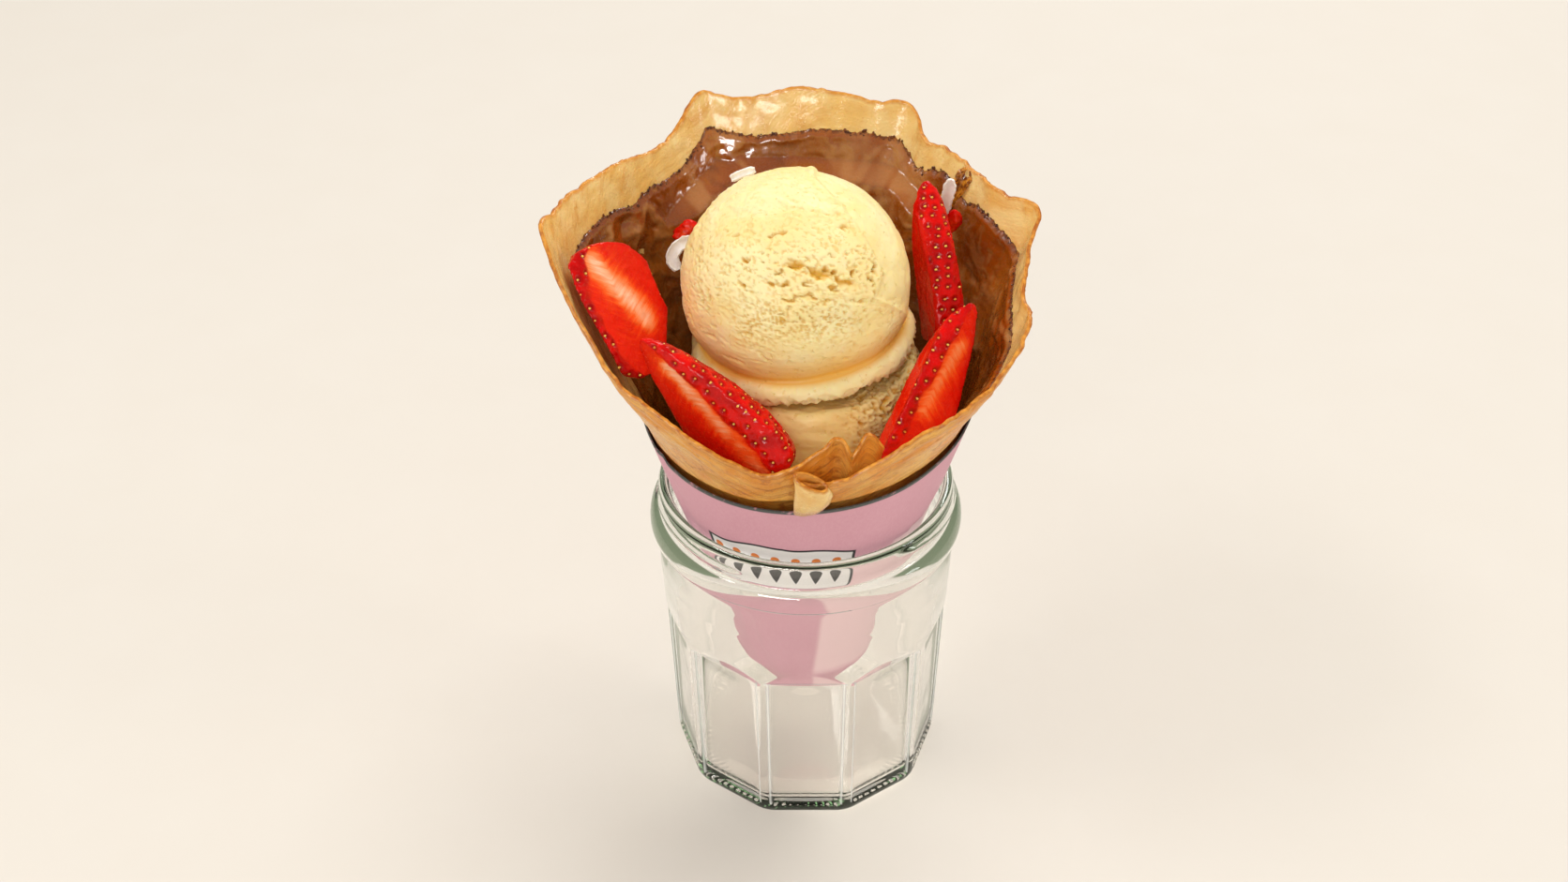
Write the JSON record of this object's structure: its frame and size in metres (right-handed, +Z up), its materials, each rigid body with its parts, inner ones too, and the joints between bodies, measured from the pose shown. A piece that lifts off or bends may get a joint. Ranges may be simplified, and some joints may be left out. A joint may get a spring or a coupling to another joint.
{
  "type": "ice cream crepe",
  "caption": "Rolled crepe cone in a paper sleeve, filled with chocolate spread, scoops of ice cream and cut strawberries, standing in a ten-sided glass jar.",
  "frame": {"origin": "centre of the jar's flat base, on its axis", "axes": "+Z up along the jar's axis, -Y towards the front, where the crepe's folded edges meet, +X to the right as seen from the front"},
  "size_m": [0.1219, 0.1068, 0.1794],
  "materials": {
    "jar_glass": "clear, glossy",
    "sleeve_paper": "matte printed paper",
    "crepe": "soft, slightly oily",
    "chocolate": "glossy spread",
    "ice_cream": "soft matte, slightly wet",
    "strawberry": "glossy wet fruit",
    "white_chocolate": "satin"
  },
  "bodies": {
    "root": {"jar": "jar_glass", "paper_sleeve": "sleeve_paper", "crepe": "crepe", "chocolate_spread": "chocolate", "scoop_top": "ice_cream", "scoop_lower": "ice_cream", "strawberry_left": "strawberry", "strawberry_front_left": "strawberry", "strawberry_back_right": "strawberry", "strawberry_front_right": "strawberry", "strawberry_bit_right": "strawberry", "strawberry_bit_left": "strawberry", "white_shaving_right": "white_chocolate", "white_shaving_left": "white_chocolate", "white_shaving_back": "white_chocolate"}
  },
  "joints": []
}
